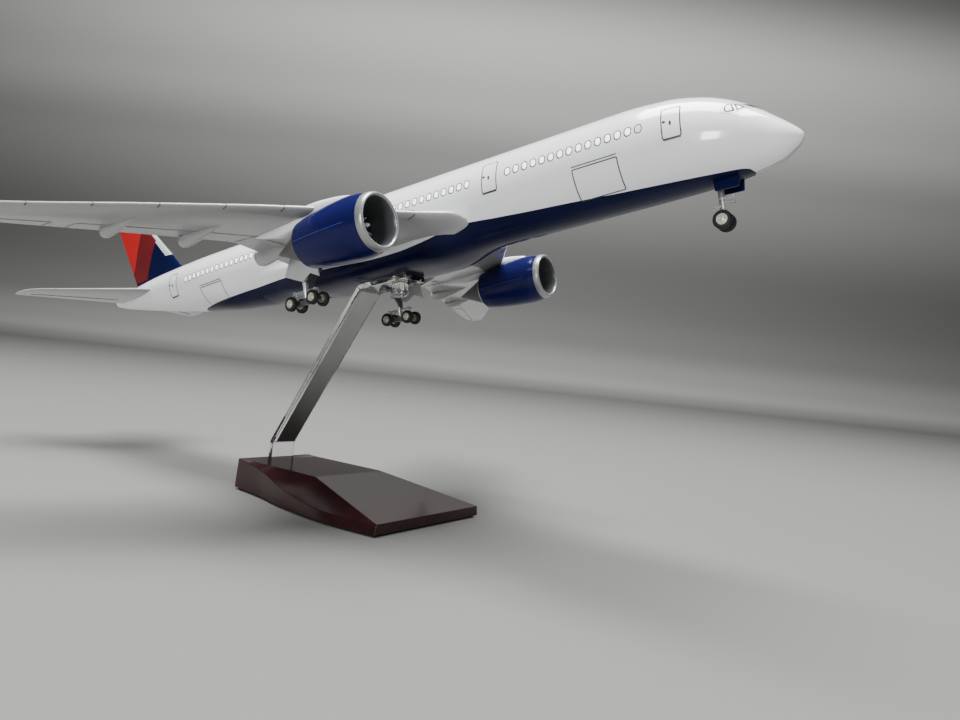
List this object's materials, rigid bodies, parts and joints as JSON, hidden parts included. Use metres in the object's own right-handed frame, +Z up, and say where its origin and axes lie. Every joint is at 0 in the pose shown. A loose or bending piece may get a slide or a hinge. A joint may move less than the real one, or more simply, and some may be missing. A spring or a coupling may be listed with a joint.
{
  "type": "desktop airliner model",
  "caption": "Desktop model of a twin-engine wide-body airliner, nose up on a bent clear strut over a weighted wedge base, with free-rolling wheels.",
  "frame": {"origin": "middle of the base's underside, on the desk", "axes": "+X forward towards the nose, +Y to port, +Z up"},
  "size_m": [0.4739, 0.456, 0.2036],
  "materials": {
    "base_gloss": "glossy dark burgundy moulding",
    "base_under": "plain black moulding",
    "base_felt": "black felt",
    "plain_steel": "plain sheet and screw steel",
    "clear_acrylic": "polished clear acrylic",
    "insert_brass": "machined",
    "fuselage_white": "gloss white paint",
    "livery_navy": "gloss navy paint",
    "livery_red": "gloss red paint",
    "cockpit_glass": "tinted printed glazing",
    "light_guide": "frosted clear moulding, lit from behind",
    "window_light": "lit cabin window",
    "marking_grey": "printed grey line",
    "circuit_board": "solder-masked board",
    "lamp_parts": "surface lamps and small parts",
    "inner_black": "plain black moulding",
    "cell_steel": "plated cell cans",
    "wing_grey": "gloss light grey paint",
    "lip_silver": "satin silver paint",
    "cowl_navy": "gloss blue paint",
    "fan_dark": "dark metallic paint",
    "exhaust_grey": "dark grey paint",
    "gear_metal": "bright silver paint",
    "gear_door_grey": "light grey paint",
    "wheel_hub": "pale metallic paint",
    "tyre_black": "soft black rubber"
  },
  "bodies": {
    "base": {"base_block": "base_gloss", "base_cover": "base_under", "base_pad": "base_felt", "base_ballast": "plain_steel", "base_screws": "plain_steel"},
    "model": {"strut": "clear_acrylic", "belly_insert": "insert_brass", "nose_shell": "fuselage_white", "barrel_left": "fuselage_white", "barrel_right": "fuselage_white", "tail_shell": "fuselage_white", "belly_fairing": "livery_navy", "battery_door": "livery_navy", "nose_doors": "livery_navy", "fin": "livery_navy", "cockpit_glazing": "cockpit_glass", "light_strip_left": "light_guide", "light_strip_right": "light_guide", "led_board": "circuit_board", "board_components": "lamp_parts", "battery_tray": "inner_black", "button_cells": "cell_steel", "wing_left": "wing_grey", "wing_right": "wing_grey", "flap_fairings_left": "wing_grey", "flap_fairings_right": "wing_grey", "stabiliser_left": "wing_grey", "stabiliser_right": "wing_grey", "pylon_left": "fuselage_white", "pylon_right": "fuselage_white", "intake_lip_left": "lip_silver", "intake_lip_right": "lip_silver", "cowl_left": "cowl_navy", "cowl_right": "cowl_navy", "stator_left": "fan_dark", "stator_right": "fan_dark", "exhaust_left": "exhaust_grey", "exhaust_right": "exhaust_grey", "nose_leg": "gear_metal", "main_leg_left": "gear_metal", "main_leg_right": "gear_metal", "bogie_beam_left": "gear_metal", "bogie_beam_right": "gear_metal", "main_door_left": "gear_door_grey", "main_door_right": "gear_door_grey"},
    "thumb_screw": {"thumb_screw": "clear_acrylic"},
    "fan_left": {"fan_left": "fan_dark"},
    "fan_right": {"fan_right": "fan_dark"},
    "nose_wheelset": {"nose_wheels": "wheel_hub", "nose_tyres": "tyre_black"},
    "front_wheelset_left": {"front_wheels_left": "wheel_hub", "front_tyres_left": "tyre_black"},
    "rear_wheelset_left": {"rear_wheels_left": "wheel_hub", "rear_tyres_left": "tyre_black"},
    "front_wheelset_right": {"front_wheels_right": "wheel_hub", "front_tyres_right": "tyre_black"},
    "rear_wheelset_right": {"rear_wheels_right": "wheel_hub", "rear_tyres_right": "tyre_black"}
  },
  "joints": [
    {"name": "model_lift", "type": "slide", "parent": "base", "child": "model", "axis": [0, 0, 1], "range_m": [0, 0.012]},
    {"name": "thumb_screw_turn", "type": "hinge", "parent": "model", "child": "thumb_screw", "pos_m": [0.02266, 0, 0.11825], "axis": [-0.2309, 0, 0.973], "continuous": true},
    {"name": "fan_spin_left", "type": "hinge", "parent": "model", "child": "fan_left", "pos_m": [0.05535, 0.0729, 0.13509], "axis": [0.9688, 0, 0.2478], "continuous": true},
    {"name": "fan_spin_right", "type": "hinge", "parent": "model", "child": "fan_right", "pos_m": [0.05535, -0.0729, 0.13509], "axis": [0.9688, 0, 0.2478], "continuous": true},
    {"name": "nose_wheels_roll", "type": "hinge", "parent": "model", "child": "nose_wheelset", "pos_m": [0.18873, 0, 0.15252], "axis": [0, 1, 0], "continuous": true},
    {"name": "front_wheels_roll_left", "type": "hinge", "parent": "model", "child": "front_wheelset_left", "pos_m": [0.00155, 0.0374, 0.10669], "axis": [0, 1, 0], "continuous": true},
    {"name": "rear_wheels_roll_left", "type": "hinge", "parent": "model", "child": "rear_wheelset_left", "pos_m": [-0.0134, 0.0374, 0.10391], "axis": [0, 1, 0], "continuous": true},
    {"name": "front_wheels_roll_right", "type": "hinge", "parent": "model", "child": "front_wheelset_right", "pos_m": [0.00116, -0.0374, 0.10828], "axis": [0, 1, 0], "continuous": true},
    {"name": "rear_wheels_roll_right", "type": "hinge", "parent": "model", "child": "rear_wheelset_right", "pos_m": [-0.01338, -0.0374, 0.10388], "axis": [0, 1, 0], "continuous": true}
  ]
}
